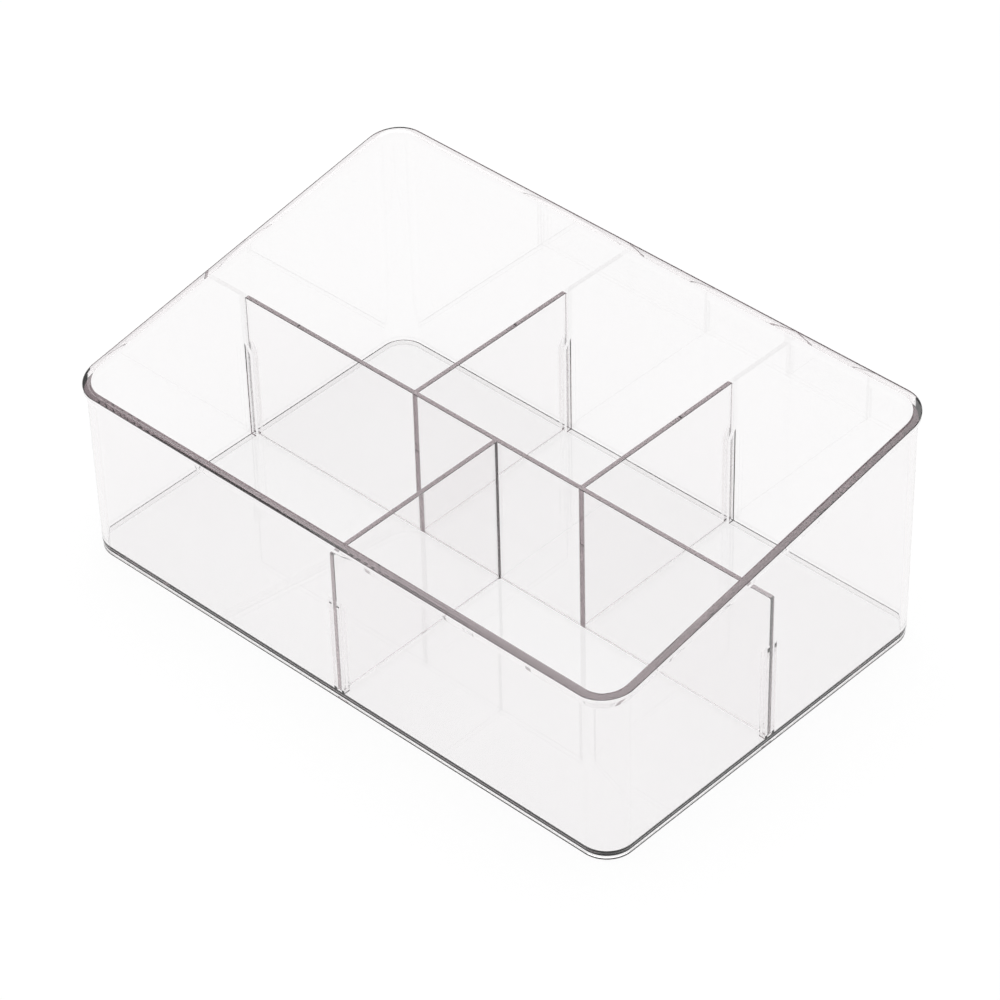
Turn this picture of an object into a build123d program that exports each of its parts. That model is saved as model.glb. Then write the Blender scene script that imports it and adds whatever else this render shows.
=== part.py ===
from build123d import *
import os
from math import atan2, cos, degrees, radians, sin, tan

# Clear sorting tray with a lift-out divider insert, in millimetres.
# The origin lies on the table under the middle of the tray. X runs along the long side, the low front
# wall faces -Y and the tall back wall +Y.

# Tray shell
base_length = 256.7  # outside of the walls at their foot
base_depth = 165.6
front_height = 74.0  # rim above the table, at the lip's outer edge
back_height = 101.4
wall = 2.1
wall_draft = 0.3  # degrees that every wall leans outwards
corner_radius = 11.5  # upright corners, outside
floor_thickness = 2.6
floor_fillet = 0.4  # between the floor and the walls, inside
plinth_height = 2.7
plinth_inset = 0.3  # all round, behind the foot of the walls
plinth_slope = 0.9  # height over which the plinth widens to the walls
foot_height = 0.6  # ring under the plinth's edge, which keeps the floor off the table
foot_width = 2.6
foot_round = 0.2
lip_overhang = 1.2
lip_thickness = 1.6  # at the outer edge
lip_root = 4.7  # how far below the rim the lip starts to grow out of the wall
lip_round = 0.4  # lower edge
rim_round = 0.35  # both upper edges

# Locating ribs, in pairs, with a divider's end between the two
rib_height = 42.8  # above the floor, at the wall
rib_depth = 2.7
rib_thickness = 1.2
rib_top_drop = 4.0  # the top of a rib slopes down towards its free edge
rib_nose_radius = 1.5
slot_clearance = 0.25  # on each side of a divider

# Divider insert
divider_thickness = 2.0
divider_height = 63.8  # above the floor
divider_corner = 0.8  # upper corners at the walls
divider_edge_round = 0.3  # along the top edges
long_divider_y = 1.0
rear_divider_x = 40.2  # each rear cross panel from the middle
front_divider_x = 0.0
end_gap = 0.3  # between a divider's end and the wall

# Levels and outlines that follow
floor_top = foot_height + floor_thickness
wall_foot = plinth_height + plinth_slope
lean = tan(radians(wall_draft))
inner_length = base_length - 2 * wall + 2 * lean * (floor_top - wall_foot)
inner_depth = base_depth - 2 * wall + 2 * lean * (floor_top - wall_foot)

# The rim lies in one plane through the lip's outer edge at the front and at the back
front_reach = base_depth / 2 + lip_overhang + lean * (front_height - wall_foot)
back_reach = base_depth / 2 + lip_overhang + lean * (back_height - wall_foot)
rim_slope = atan2(back_height - front_height, front_reach + back_reach)
rim_middle = (front_height + back_height) / 2


def below_rim(drop):
    """Plane parallel to the rim and this far under it, measured straight down."""
    return Plane(
        origin=(0, (back_reach - front_reach) / 2, rim_middle - drop),
        x_dir=(1, 0, 0),
        z_dir=(0, -sin(rim_slope), cos(rim_slope)),
    )


# Where each divider's end meets a wall: the foot of the wall's inner face, and the way inwards
left_seat = ((-inner_length / 2, long_divider_y), (1, 0))
right_seat = ((inner_length / 2, long_divider_y), (-1, 0))
rear_left_seat = ((-rear_divider_x, inner_depth / 2), (0, -1))
rear_right_seat = ((rear_divider_x, inner_depth / 2), (0, -1))
front_seat = ((front_divider_x, -inner_depth / 2), (0, 1))
divider_seats = [left_seat, right_seat, rear_left_seat, rear_right_seat, front_seat]


def seat_plane(seat, sideways=0.0):
    """Upright plane square to the wall at a seat: its X axis points inwards, its Y axis up."""
    (x, y), (inward_x, inward_y) = seat
    return Plane(
        origin=(x - sideways * inward_y, y + sideways * inward_x, floor_top),
        x_dir=(inward_x, inward_y, 0),
        z_dir=(inward_y, -inward_x, 0),
    )


# Tray: one moulding, a drafted box cut off along the sloping rim, with a narrow lip round it
with BuildPart() as tray:
    # The lip flares out of the walls from its root upwards and stands upright at its full overhang
    for drop in (lip_root + lip_thickness, -lip_thickness):
        reach = lip_overhang * (lip_root - drop) / (lip_root - lip_thickness)
        reach += lean * (rim_middle - wall_foot)
        with BuildSketch(below_rim(drop)):
            RectangleRounded(
                base_length + 2 * reach,
                (base_depth + 2 * reach) / cos(rim_slope),
                corner_radius + reach,
            )
    loft(ruled=True)
    with BuildSketch(Plane.XY.offset(wall_foot)):
        RectangleRounded(
            base_length + 2 * lip_overhang,
            base_depth + 2 * lip_overhang,
            corner_radius + lip_overhang,
        )
    extrude(amount=2 * back_height, taper=-wall_draft, mode=Mode.INTERSECT)
    lip_level = below_rim(lip_thickness)
    lower_edges = edges().filter_by(
        lambda edge: abs(lip_level.to_local_coords(edge.center()).Z) < lip_thickness / 4
    )
    fillet(lower_edges, radius=lip_round)

    # Walls on a plinth with a foot ring
    with BuildSketch(Plane.XY.offset(wall_foot)):
        RectangleRounded(base_length, base_depth, corner_radius)
    extrude(amount=back_height, taper=-wall_draft)
    plinth_length = base_length - 2 * plinth_inset
    plinth_depth = base_depth - 2 * plinth_inset
    plinth_corner = corner_radius - plinth_inset
    with BuildSketch(Plane.XY.offset(plinth_height)):
        RectangleRounded(plinth_length, plinth_depth, plinth_corner)
    extrude(amount=plinth_slope, taper=-degrees(atan2(plinth_inset, plinth_slope)))
    with BuildSketch():
        RectangleRounded(plinth_length, plinth_depth, plinth_corner)
    extrude(amount=plinth_height)
    with BuildSketch():
        RectangleRounded(
            plinth_length - 2 * foot_width,
            plinth_depth - 2 * foot_width,
            plinth_corner - foot_width,
        )
    extrude(amount=foot_height, mode=Mode.SUBTRACT)
    fillet(faces().sort_by(Axis.Z)[0].edges(), radius=foot_round)

    # Open top and inside
    split(bisect_by=below_rim(0), keep=Keep.BOTTOM)
    with BuildSketch(Plane.XY.offset(floor_top)):
        RectangleRounded(inner_length, inner_depth, corner_radius - wall)
    extrude(amount=back_height, taper=-wall_draft, mode=Mode.SUBTRACT)
    floor_face = faces().filter_by(Axis.Z).sort_by(Axis.Z)[-1]
    fillet(floor_face.edges(), radius=floor_fillet)
    fillet(faces().filter_by(below_rim(0)).edges(), radius=rim_round)

    # Ribs rooted in the wall and the floor, with a sloping top and a round nose
    rib_offset = (divider_thickness + rib_thickness) / 2 + slot_clearance
    for seat in divider_seats:
        for sideways in (-rib_offset, rib_offset):
            with BuildSketch(seat_plane(seat, sideways)):
                with BuildLine():
                    Polyline(
                        (-wall / 2, -floor_thickness / 2),
                        (rib_depth, -floor_thickness / 2),
                        (rib_depth, rib_height - rib_top_drop),
                        (0, rib_height),
                        (-wall / 2, rib_height),
                        close=True,
                    )
                make_face()
                fillet(vertices().group_by(Axis.X)[-1].sort_by(Axis.Y)[-1], radius=rib_nose_radius)
            extrude(amount=rib_thickness / 2, both=True)
tray.part.label = "tray"

# Long divider: follows the leaning walls at both ends, its lower corners clear of the floor's fillet
with BuildPart() as long_divider:
    foot_half_length = inner_length / 2 - end_gap
    top_half_length = foot_half_length + lean * divider_height
    with BuildSketch(Plane.XZ.offset(-long_divider_y)):
        with BuildLine():
            Polyline(
                (-foot_half_length, floor_top),
                (foot_half_length, floor_top),
                (top_half_length, floor_top + divider_height),
                (-top_half_length, floor_top + divider_height),
                close=True,
            )
        make_face()
        fillet(vertices().group_by(Axis.Y)[0], radius=floor_fillet)
        fillet(vertices().group_by(Axis.Y)[-1], radius=divider_corner)
    extrude(amount=divider_thickness / 2, both=True)
    fillet(faces().sort_by(Axis.Z)[-1].edges().filter_by(Axis.X), radius=divider_edge_round)
long_divider.part.label = "long_divider"


def cross_divider(seat):
    """Panel from the long divider's face to the wall at a seat."""
    (seat_x, seat_y), (_, inward_y) = seat
    joint_reach = abs(seat_y - long_divider_y) - divider_thickness / 2
    with BuildPart() as panel:
        with BuildSketch(seat_plane(seat)):
            with BuildLine():
                Polyline(
                    (end_gap, 0),
                    (joint_reach, 0),
                    (joint_reach, divider_height),
                    (end_gap - lean * divider_height, divider_height),
                    close=True,
                )
            make_face()
            wall_corners = vertices().sort_by(Axis.X)[:2].sort_by(Axis.Y)
            fillet(wall_corners[0], radius=floor_fillet)
            fillet(wall_corners[1], radius=divider_corner)
        extrude(amount=divider_thickness / 2, both=True)
        fillet(faces().sort_by(Axis.Z)[-1].edges().filter_by(Axis.Y), radius=divider_edge_round)
    return panel


rear_left_divider = cross_divider(rear_left_seat)
rear_left_divider.part.label = "rear_left_divider"
rear_right_divider = cross_divider(rear_right_seat)
rear_right_divider.part.label = "rear_right_divider"
front_divider = cross_divider(front_seat)
front_divider.part.label = "front_divider"

os.makedirs("parts", exist_ok=True)
export_step(tray.part, "parts/tray.step")
export_step(long_divider.part, "parts/long_divider.step")
export_step(rear_left_divider.part, "parts/rear_left_divider.step")
export_step(rear_right_divider.part, "parts/rear_right_divider.step")
export_step(front_divider.part, "parts/front_divider.step")
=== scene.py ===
from math import cos, pi, radians, sin, tan

import bmesh
import bpy
from mathutils import Matrix, Vector


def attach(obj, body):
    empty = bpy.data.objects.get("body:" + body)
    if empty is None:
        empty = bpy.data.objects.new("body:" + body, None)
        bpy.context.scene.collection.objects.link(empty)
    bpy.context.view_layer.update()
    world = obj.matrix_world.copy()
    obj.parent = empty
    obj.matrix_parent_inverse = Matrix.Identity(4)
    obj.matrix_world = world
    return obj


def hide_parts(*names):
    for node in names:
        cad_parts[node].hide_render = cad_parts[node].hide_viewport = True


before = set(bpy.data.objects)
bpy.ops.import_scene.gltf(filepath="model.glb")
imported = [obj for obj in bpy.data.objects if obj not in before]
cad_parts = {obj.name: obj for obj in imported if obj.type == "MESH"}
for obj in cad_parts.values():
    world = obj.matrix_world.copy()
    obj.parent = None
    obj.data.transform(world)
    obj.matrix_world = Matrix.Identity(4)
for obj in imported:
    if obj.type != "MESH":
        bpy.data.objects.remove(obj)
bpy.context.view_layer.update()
MM = 0.001


# ---- Tray shell ----
# The body of the tray: one clear injection moulding with drafted walls, a floor on a narrow foot
# ring, and a small lip round a rim that slopes from the tall back wall to the low front wall.

base_length = 256.7 * MM
base_depth = 165.6 * MM
front_height = 74.0 * MM
back_height = 101.4 * MM
wall = 2.1 * MM
lean = tan(radians(0.3))
corner_radius = 11.5 * MM
corner_steps = 32
floor_thickness = 2.6 * MM
floor_fillet = 0.4 * MM
plinth_height = 2.7 * MM
plinth_inset = 0.3 * MM
plinth_slope = 0.9 * MM
foot_height = 0.6 * MM
foot_width = 2.6 * MM
foot_round = 0.2 * MM
lip_overhang = 1.199 * MM
lip_thickness = 1.6 * MM
lip_root = 4.7 * MM
lip_round = 0.4 * MM
rim_round = 0.35 * MM
rim_crown = 0.15 * MM  # how far the rim's faintly rounded top rises to its middle
rim_crown_radius = 8.0 * MM
rim_edge_drop = 0.05 * MM  # of its outer edge
plinth_round = 0.1 * MM  # where the plinth starts to widen
wall_foot_round = 0.3 * MM
lip_root_round = 1.5 * MM

floor_top = foot_height + floor_thickness
wall_foot = plinth_height + plinth_slope
inner_length = base_length - 2 * wall + 2 * lean * (floor_top - wall_foot)
inner_depth = base_depth - 2 * wall + 2 * lean * (floor_top - wall_foot)
front_reach = base_depth / 2 + lip_overhang + lean * (front_height - wall_foot)
back_reach = base_depth / 2 + lip_overhang + lean * (back_height - wall_foot)
rim_rise = (back_height - front_height) / (front_reach + back_reach)


def rounded_path(corners, steps=6):
    """Points along straight runs between (x, y, radius) corners, each corner turned into an arc."""
    path = []
    for index, (x, y, radius) in enumerate(corners):
        corner = Vector((x, y))
        if radius == 0 or index in (0, len(corners) - 1):
            path.append(corner)
            continue
        back = (Vector(corners[index - 1][:2]) - corner).normalized()
        ahead = (Vector(corners[index + 1][:2]) - corner).normalized()
        half_angle = back.angle(ahead) / 2
        centre = corner + (back + ahead).normalized() * radius / sin(half_angle)
        first = corner + back * radius / tan(half_angle) - centre
        turn = first.angle_signed(corner + ahead * radius / tan(half_angle) - centre)
        path += [centre + Matrix.Rotation(-turn * k / steps, 2) @ first for k in range(steps + 1)]
    return path


def line_object(name, points):
    """Object whose mesh is one open run of edges through the points."""
    mesh = bpy.data.meshes.new(name)
    mesh.from_pydata(points, [(k, k + 1) for k in range(len(points) - 1)], [])
    made = bpy.data.objects.new(name, mesh)
    bpy.context.scene.collection.objects.link(made)
    return made


class Flow:
    """A socket in a node tree. Arithmetic on it adds Math nodes to the same tree."""

    def __init__(self, tree, socket=None):
        self.tree = tree
        self.socket = socket

    def node(self, kind, settings=None, sockets=None):
        """Adds a node, its settings first and then its sockets, and gives its first output."""
        made = self.tree.nodes.new(kind)
        for name, value in (settings or {}).items():
            if name == "stops":
                ramp = made.color_ramp.elements
                for place, shade in value[len(ramp):]:
                    ramp.new(place)
                for element, (place, shade) in zip(ramp, value):
                    element.position = place
                    element.color = shade
            else:
                setattr(made, name, value)
        for name, value in (sockets or {}).items():
            if isinstance(value, Flow):
                self.tree.links.new(value.socket, made.inputs[name])
            else:
                made.inputs[name].default_value = value
        return Flow(self.tree, made.outputs[0]) if made.outputs else None

    def output(self, name):
        """Another output of the node that this socket is on."""
        return Flow(self.tree, self.socket.node.outputs[name])

    def join(self, *others):
        """One geometry from this one and the others."""
        made = self.tree.nodes.new("GeometryNodeJoinGeometry")
        for part in (self, *others):
            self.tree.links.new(part.socket, made.inputs[0])
        return Flow(self.tree, made.outputs[0])

    def maths(self, operation, first, second):
        return self.node("ShaderNodeMath", {"operation": operation}, {0: first, 1: second})

    def __add__(self, other):
        return self.maths("ADD", self, other)

    def __radd__(self, other):
        return self.maths("ADD", other, self)

    def __sub__(self, other):
        return self.maths("SUBTRACT", self, other)

    def __rsub__(self, other):
        return self.maths("SUBTRACT", other, self)

    def __mul__(self, other):
        return self.maths("MULTIPLY", self, other)

    def __rmul__(self, other):
        return self.maths("MULTIPLY", other, self)

    def __truediv__(self, other):
        return self.maths("DIVIDE", self, other)

    def __gt__(self, other):
        return self.maths("GREATER_THAN", self, other)


def geometry_tree(name, inputs):
    """New Geometry Nodes tree with its named inputs. Gives the tree and each input as a Flow."""
    tree = bpy.data.node_groups.new(name, "GeometryNodeTree")
    tree.interface.new_socket("Geometry", in_out="OUTPUT", socket_type="NodeSocketGeometry")
    tree.interface.new_socket("Geometry", in_out="INPUT", socket_type="NodeSocketGeometry")
    for label, kind in inputs.items():
        tree.interface.new_socket(label, in_out="INPUT", socket_type="NodeSocket" + kind)
    source = tree.nodes.new("NodeGroupInput")
    return Flow(tree), {socket.name: Flow(tree, socket) for socket in source.outputs if socket.name}


def finish_tree(geometry, plastic):
    """Ends a geometry tree: real meshes only, all in the piece's own material."""
    solid = geometry.node("GeometryNodeRealizeInstances", {}, {0: geometry})
    solid = solid.node("GeometryNodeSetMaterial", {}, {"Geometry": solid, "Material": plastic})
    solid.node("NodeGroupOutput", {}, {0: solid})


def finished_mesh(obj):
    """The object's mesh with its modifiers taken in."""
    bpy.context.view_layer.update()
    graph = bpy.context.evaluated_depsgraph_get()
    return bpy.data.meshes.new_from_object(obj.evaluated_get(graph))


def grown_mesh(obj, tree, values):
    """The mesh that a tree makes from an object with these input values. The object goes."""
    modifier = obj.modifiers.new(tree.name, "NODES")
    modifier.node_group = tree
    for item in tree.interface.items_tree:
        if item.in_out == "INPUT" and item.name in values:
            modifier[item.identifier] = values[item.name]
    mesh = finished_mesh(obj)
    obj.modifiers.remove(modifier)
    bpy.data.objects.remove(obj)
    return mesh


# Water-clear plastic. Moulding leaves its walls very slightly uneven, handling leaves a faint haze in
# patches, and a long way through it, as along an edge, looks brownish grey.
plastic_ior = 1.57
edge_colour = (0.79, 0.75, 0.76, 1)
haze_colour = (0.998, 0.996, 0.997, 1)
haze_roughness = 0.02
wave_height = 0.1 * MM
wave_strength = 0.02


def clear_plastic(name, haze_scale, wave_scale, density):
    material = bpy.data.materials.new(name)
    material.use_nodes = True
    material.node_tree.nodes.clear()
    flow = Flow(material.node_tree)
    spot = flow.node("ShaderNodeTexCoord").output("Object")
    haze = flow.node(
        "ShaderNodeTexNoise", {}, {"Vector": spot, "Scale": haze_scale, "Detail": 3.0}
    )
    wave = flow.node(
        "ShaderNodeTexNoise", {}, {"Vector": spot, "Scale": wave_scale, "Detail": 1.0}
    )
    uneven = flow.node(
        "ShaderNodeBump",
        {},
        {"Height": wave, "Strength": wave_strength, "Distance": wave_height},
    )
    tint = flow.node(
        "ShaderNodeValToRGB",
        {"stops": [(0.35, (1, 1, 1, 1)), (0.75, haze_colour)]},
        {"Fac": haze},
    )
    surface = flow.node(
        "ShaderNodeBsdfPrincipled",
        {},
        {
            "Base Color": tint,
            "Roughness": haze * haze_roughness,
            "IOR": plastic_ior,
            "Transmission Weight": 1.0,
            "Normal": uneven,
        },
    )
    inside = flow.node(
        "ShaderNodeVolumeAbsorption", {}, {"Color": edge_colour, "Density": density}
    )
    flow.node("ShaderNodeOutputMaterial", {}, {"Surface": surface, "Volume": inside})
    return material


# Section of the wall at the front, from the floor's underside out over the plinth and the lip and back
# to the floor's upper face, as (distance outside the foot of the wall, height, radius)
foot_inside = -plinth_inset - foot_width
lip_low = front_height - lip_thickness
root_low = front_height - lip_root
rim_outside = lip_overhang + lean * (front_height - wall_foot)
rim_inside = -wall + lean * (front_height - wall_foot)
wall_section = rounded_path(
    [
        (foot_inside, foot_height, 0),
        (foot_inside, 0, foot_round),
        (-plinth_inset, 0, foot_round),
        (-plinth_inset, plinth_height, plinth_round),
        (0, wall_foot, wall_foot_round),
        (lean * (root_low - wall_foot), root_low, lip_root_round),
        (lip_overhang + lean * (lip_low - wall_foot), lip_low, lip_round),
        (rim_outside, front_height - rim_edge_drop, rim_round),
        ((rim_outside + rim_inside) / 2, front_height + rim_crown, rim_crown_radius),
        (rim_inside, front_height, rim_round),
        (-wall + lean * (floor_top - wall_foot), floor_top, floor_fillet),
        (-wall - 2 * floor_fillet, floor_top, 0),
    ]
)

flow, given = geometry_tree(
    "Sweep the wall round the tray",
    {
        "Length": "Float",
        "Depth": "Float",
        "Corner Radius": "Float",
        "Corner Steps": "Int",
        "Rim Rise": "Float",
        "Front Reach": "Float",
        "Rim Level": "Float",
        "Lean": "Float",
        "Plastic": "Material",
    },
)
outline = flow.node(
    "GeometryNodeCurvePrimitiveQuadrilateral",
    {},
    {"Width": given["Length"], "Height": given["Depth"]},
)
outline = flow.node(
    "GeometryNodeFilletCurve",
    {"mode": "POLY"},
    {"Curve": outline, "Radius": given["Corner Radius"], "Count": given["Corner Steps"]},
)
outline = flow.node(
    "GeometryNodeCaptureAttribute",
    {"domain": "POINT"},
    {"Geometry": outline},
)
capture = outline.socket.node
capture.capture_items.new("VECTOR", "Outward")
flow.tree.links.new(flow.node("GeometryNodeInputNormal").socket, capture.inputs["Outward"])
outward = Flow(flow.tree, capture.outputs["Outward"])
section_curve = flow.node("GeometryNodeMeshToCurve", {}, {"Mesh": given["Geometry"]})
shell = flow.node(
    "GeometryNodeCurveToMesh", {}, {"Curve": outline, "Profile Curve": section_curve}
)
place = flow.node("ShaderNodeSeparateXYZ", {}, {0: flow.node("GeometryNodeInputPosition")})
lift = (
    (place.output("Y") + given["Front Reach"])
    * given["Rim Rise"]
    * (place.output("Z") > given["Rim Level"])
)
outwards = lift * given["Lean"]
shift = flow.node(
    "ShaderNodeVectorMath",
    {"operation": "MULTIPLY_ADD"},
    {
        0: outward,
        1: flow.node("ShaderNodeCombineXYZ", {}, {0: outwards, 1: outwards}),
        2: flow.node("ShaderNodeCombineXYZ", {}, {2: lift}),
    },
)
shell = flow.node("GeometryNodeSetPosition", {}, {"Geometry": shell, "Offset": shift})
finish_tree(shell, given["Plastic"])

tray_plastic = clear_plastic("Clear tray plastic", 14.0, 35.0, 66.0)
shell_mesh = grown_mesh(
    line_object("wall_section", [(p.x, -p.y, 0) for p in wall_section]),
    flow.tree,
    {
        "Length": base_length,
        "Depth": base_depth,
        "Corner Radius": corner_radius,
        "Corner Steps": corner_steps,
        "Rim Rise": rim_rise,
        "Front Reach": front_reach,
        "Rim Level": front_height / 2,
        "Lean": lean,
        "Plastic": tray_plastic,
    },
)

# The floor closes the sweep above and below
bm = bmesh.new()
bm.from_mesh(shell_mesh)
bmesh.ops.holes_fill(bm, edges=[edge for edge in bm.edges if edge.is_boundary])
bmesh.ops.recalc_face_normals(bm, faces=bm.faces)
bm.to_mesh(shell_mesh)
bm.free()


# ---- Locating ribs ----
# Five pairs of upright ribs on the inside of the walls, moulded in one with the tray. An end of the
# divider insert drops in between the two ribs of a pair.

rib_height = 42.8 * MM
rib_depth = 2.7 * MM
rib_thickness = 1.2 * MM
rib_top_drop = 4.0 * MM
rib_nose_radius = 1.5 * MM
slot_clearance = 0.25 * MM
divider_thickness = 2.0 * MM
long_divider_y = 1.0 * MM
rear_divider_x = 40.2 * MM
front_divider_x = 0.0
rib_offset = (divider_thickness + rib_thickness) / 2 + slot_clearance

flow, given = geometry_tree(
    "Rib pairs at the seats",
    {
        "Height": "Float",
        "Depth": "Float",
        "Thickness": "Float",
        "Top Drop": "Float",
        "Nose Radius": "Float",
        "Root": "Float",
        "Offset": "Float",
        "Plastic": "Material",
    },
)
root_top = given["Height"] + given["Top Drop"] * given["Root"] / given["Depth"]
corners = [
    (0 - given["Root"], 0 - given["Root"]),
    (given["Depth"], 0 - given["Root"]),
    (given["Depth"], given["Height"] - given["Top Drop"]),
    (0 - given["Root"], root_top),
]
rib = flow.node(
    "GeometryNodeCurvePrimitiveQuadrilateral",
    {"mode": "POINTS"},
    {
        f"Point {number}": flow.node("ShaderNodeCombineXYZ", {}, {0: reach, 1: level})
        for number, (reach, level) in enumerate(corners, 1)
    },
)
nose = flow.maths("COMPARE", flow.node("GeometryNodeInputIndex"), 2.0)
rib = flow.node(
    "GeometryNodeFilletCurve",
    {"mode": "POLY"},
    {"Curve": rib, "Radius": nose * given["Nose Radius"], "Count": 8},
)
side = flow.node("GeometryNodeFillCurve", {"mode": "NGONS"}, {0: rib})
thick = flow.node("ShaderNodeCombineXYZ", {}, {2: given["Thickness"]})
rib = flow.node(
    "GeometryNodeExtrudeMesh", {}, {"Mesh": side, "Offset": thick, "Individual": False}
)
rib = rib.join(flow.node("GeometryNodeFlipFaces", {}, {"Mesh": side}))
rib = flow.node("GeometryNodeMergeByDistance", {}, {"Geometry": rib})
ribs = [
    flow.node(
        "GeometryNodeTransform",
        {},
        {
            "Geometry": rib,
            "Translation": flow.node("ShaderNodeCombineXYZ", {}, {1: sideways}),
            "Rotation": (pi / 2, 0, 0),
        },
    )
    for sideways in (
        given["Offset"] + given["Thickness"] * 0.5,
        given["Thickness"] * 0.5 - given["Offset"],
    )
]
inwards = flow.node(
    "GeometryNodeInputNamedAttribute", {"data_type": "FLOAT_VECTOR"}, {"Name": "inwards"}
)
pairs = flow.node(
    "GeometryNodeInstanceOnPoints",
    {},
    {
        "Points": given["Geometry"],
        "Instance": ribs[0].join(ribs[1]),
        "Rotation": flow.node(
            "FunctionNodeAlignRotationToVector", {"axis": "X"}, {"Vector": inwards}
        ),
    },
)
finish_tree(pairs, given["Plastic"])

seats = [
    ((-inner_length / 2, long_divider_y), (1, 0)),
    ((inner_length / 2, long_divider_y), (-1, 0)),
    ((-rear_divider_x, inner_depth / 2), (0, -1)),
    ((rear_divider_x, inner_depth / 2), (0, -1)),
    ((front_divider_x, -inner_depth / 2), (0, 1)),
]
seat_points = line_object("seats", [(x, y, floor_top) for (x, y), _ in seats])
way = seat_points.data.attributes.new("inwards", "FLOAT_VECTOR", "POINT")
for item, (_, (inward_x, inward_y)) in zip(way.data, seats):
    item.vector = (inward_x, inward_y, 0)
rib_mesh = grown_mesh(
    seat_points,
    flow.tree,
    {
        "Height": rib_height,
        "Depth": rib_depth,
        "Thickness": rib_thickness,
        "Top Drop": rib_top_drop,
        "Nose Radius": rib_nose_radius,
        "Root": wall / 2,
        "Offset": rib_offset,
        "Plastic": tray_plastic,
    },
)


def mesh_object(name, mesh):
    made = bpy.data.objects.new(name, mesh)
    bpy.context.scene.collection.objects.link(made)
    return made


smooth_up_to = radians(35)


def smooth_mesh(obj):
    """The object's final mesh, flat faces flat and arcs smooth, with its modifiers taken in."""
    obj.data.shade_smooth()
    obj.data.set_sharp_from_angle(angle=smooth_up_to)
    evening = obj.modifiers.new("Even the normals", "WEIGHTED_NORMAL")
    evening.keep_sharp = True
    evening.weight = 100
    mesh = finished_mesh(obj)
    obj.modifiers.clear()
    obj.data = mesh


tray = mesh_object("clear_tray", shell_mesh)
ribs = mesh_object("ribs", rib_mesh)
fusing = tray.modifiers.new("Ribs moulded on", "BOOLEAN")
fusing.operation = "UNION"
fusing.solver = "EXACT"
fusing.object = ribs
tray_mesh = finished_mesh(tray)
tray.modifiers.clear()
tray.data = tray_mesh
bpy.data.objects.remove(ribs)
smooth_mesh(tray)
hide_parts("tray")
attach(tray, "tray")


# ---- Divider insert ----
# One lift-out piece of four upright sheets: a long one with two cross sheets behind it and one in
# front. The sheets are solvent-bonded at the tees, which leaves a tiny fillet in each corner.

divider_height = 63.8 * MM
divider_corner = 0.8 * MM
divider_edge_round = 0.3 * MM
end_gap = 0.3 * MM
tee_fillet = 0.5 * MM
rest_gap = 0.05 * MM  # air under the sheets, which rest on a few high spots
square_from = radians(60)  # a turn past this is an edge, not a part of an arc

half = divider_thickness / 2
end_x = inner_length / 2 - end_gap
end_y = inner_depth / 2 - end_gap
top_x = end_x + lean * divider_height
top_y = end_y + lean * divider_height


def insert_plan(reach_x, reach_y):
    """The insert's outline from above, counter-clockwise from the left end's front corner."""
    front = long_divider_y - half
    rear = long_divider_y + half
    plan = [(-reach_x, front)]
    plan += [(front_divider_x - half, front), (front_divider_x - half, -reach_y)]
    plan += [(front_divider_x + half, -reach_y), (front_divider_x + half, front)]
    plan += [(reach_x, front), (reach_x, rear)]
    for x in (rear_divider_x, -rear_divider_x):
        plan += [(x + half, rear), (x + half, reach_y), (x - half, reach_y), (x - half, rear)]
    plan += [(-reach_x, rear)]
    return plan


bm = bmesh.new()
foot_ring = [bm.verts.new((x, y, floor_top + rest_gap)) for x, y in insert_plan(end_x, end_y)]
top_ring = [bm.verts.new((x, y, floor_top + divider_height)) for x, y in insert_plan(top_x, top_y)]
bm.faces.new(list(reversed(foot_ring)))
bm.faces.new(top_ring)
for here in range(len(foot_ring)):
    following = (here + 1) % len(foot_ring)
    bm.faces.new((foot_ring[here], foot_ring[following], top_ring[following], top_ring[here]))


def is_end(edge):
    """True for a level edge across the end of a sheet."""
    first, second = (vert.co for vert in edge.verts)
    across = abs(edge.calc_length() - divider_thickness) < 0.01 * MM
    return across and abs(first.z - second.z) < 0.01 * MM


def is_tee(edge):
    """True for an upright edge in the inside corner of a tee."""
    return not edge.is_convex and abs(edge.verts[0].co.z - edge.verts[1].co.z) > divider_height / 2


def bevel(edges, width, steps):
    bmesh.ops.bevel(
        bm, geom=edges, offset=width, offset_type="OFFSET", segments=steps, profile=0.5,
        affect="EDGES",
    )


bm.normal_update()
bevel([edge for edge in bm.edges if is_end(edge)], divider_corner, 8)
bevel([edge for edge in bm.edges if is_tee(edge)], tee_fillet, 5)
bm.normal_update()
bevel([edge for edge in bm.edges if edge.calc_face_angle() > square_from], divider_edge_round, 3)
insert_mesh = bpy.data.meshes.new("divider_insert")
bm.to_mesh(insert_mesh)
bm.free()
insert = mesh_object("divider_insert", insert_mesh)
insert_mesh.materials.append(clear_plastic("Clear divider sheet", 18.0, 25.0, 50.0))
smooth_mesh(insert)
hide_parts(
    "long_divider", "rear_left_divider", "rear_right_divider", "front_divider"
)
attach(insert, "divider_insert")


# ---- Studio ----
# A plain white floor that keeps a faint shadow, a white surround, and soft light from above. What the
# camera sees straight on is white, and the plastic shows a slightly darker room.

surround_shade = (0.92, 0.92, 0.92, 1)
paper_shade = (0.9, 0.9, 0.9, 1)
pure_white = (1, 1, 1, 1)
floor_whiteness = 0.92  # share of the floor that shows white, the rest takes the shadow
floor_reach = 5.0
floor_level = -0.3 * MM

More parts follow.
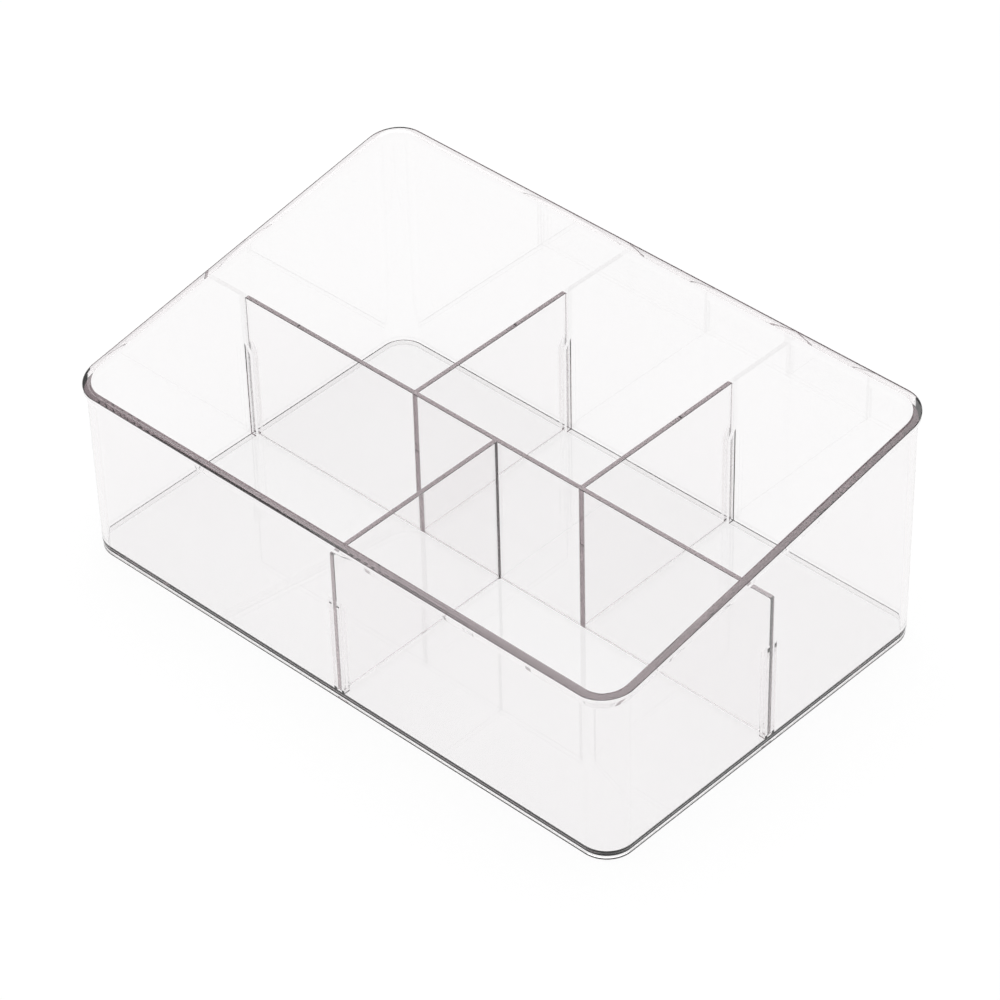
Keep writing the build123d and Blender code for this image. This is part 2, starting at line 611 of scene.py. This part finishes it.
floor_material = bpy.data.materials.new("Studio floor")
floor_material.use_nodes = True
floor_material.node_tree.nodes.clear()
flow = Flow(floor_material.node_tree)
rays = flow.node("ShaderNodeLightPath")
paper = flow.node("ShaderNodeBsdfDiffuse", {}, {"Color": paper_shade})
white = flow.node("ShaderNodeEmission", {}, {"Color": pure_white, "Strength": 1.0})
seen = flow.maths("MAXIMUM", rays.output("Is Camera Ray"), rays.output("Is Transmission Ray"))
seen = flow.maths("MAXIMUM", seen, rays.output("Is Glossy Ray"))
surface = flow.node("ShaderNodeMixShader", {}, {0: seen * floor_whiteness, 1: paper, 2: white})
flow.node("ShaderNodeOutputMaterial", {}, {"Surface": surface})

floor_mesh = bpy.data.meshes.new("studio_floor")
corners = [(-1, -1), (1, -1), (1, 1), (-1, 1)]
floor_mesh.from_pydata(
    [(x * floor_reach, y * floor_reach, floor_level) for x, y in corners], [], [(0, 1, 2, 3)]
)
floor_mesh.materials.append(floor_material)
mesh_object("studio_floor", floor_mesh)

world = bpy.data.worlds.new("Studio surround")
world.use_nodes = True
world.node_tree.nodes.clear()
flow = Flow(world.node_tree)
rays = flow.node("ShaderNodeLightPath")
room = flow.node("ShaderNodeBackground", {}, {"Color": surround_shade, "Strength": 1.0})
white = flow.node("ShaderNodeBackground", {}, {"Color": pure_white, "Strength": 1.0})
sky = flow.node("ShaderNodeMixShader", {}, {0: rays.output("Is Camera Ray"), 1: room, 2: white})
flow.node("ShaderNodeOutputWorld", {}, {"Surface": sky})
bpy.context.scene.world = world


def softbox(name, centre, aim, width, height, power):
    lamp = bpy.data.lights.new(name, "AREA")
    lamp.shape = "RECTANGLE"
    lamp.size = width
    lamp.size_y = height
    lamp.energy = power
    made = bpy.data.objects.new(name, lamp)
    made.location = centre
    made.rotation_euler = (Vector(aim) - Vector(centre)).to_track_quat("-Z", "Y").to_euler()
    bpy.context.scene.collection.objects.link(made)


softbox("Overhead softbox", (-0.2, 0.3, 1.6), (0, 0, 0), 1.6, 1.6, 16)

# Camera at the photograph's angle
azimuth = radians(-44.036)
elevation = radians(39.809)
roll = radians(-1.556)
target = Vector((3.359, -1.664, 42.567)) * MM
camera_distance_mm = 1578.7
ahead = Vector(
    (sin(azimuth) * cos(elevation), cos(azimuth) * cos(elevation), -sin(elevation))
)
level_right = ahead.cross(Vector((0, 0, 1))).normalized()
level_up = level_right.cross(ahead)
right = level_right * cos(roll) + level_up * sin(roll)
up = level_up * cos(roll) - level_right * sin(roll)
camera_data = bpy.data.cameras.new("Camera")
camera_data.sensor_width = 36
camera_data.lens = 159.83
camera = bpy.data.objects.new("Camera", camera_data)
turn = Matrix((right, up, -ahead)).transposed().to_4x4()
camera.matrix_world = Matrix.Translation(target - ahead * camera_distance_mm * MM) @ turn
bpy.context.scene.collection.objects.link(camera)
bpy.context.scene.camera = camera
bpy.context.scene.view_settings.view_transform = "Standard"

# Light runs a long way inside a clear sheet before it leaves by an edge
bpy.context.scene.cycles.max_bounces = 48
bpy.context.scene.cycles.transmission_bounces = 48
bpy.context.scene.cycles.glossy_bounces = 24
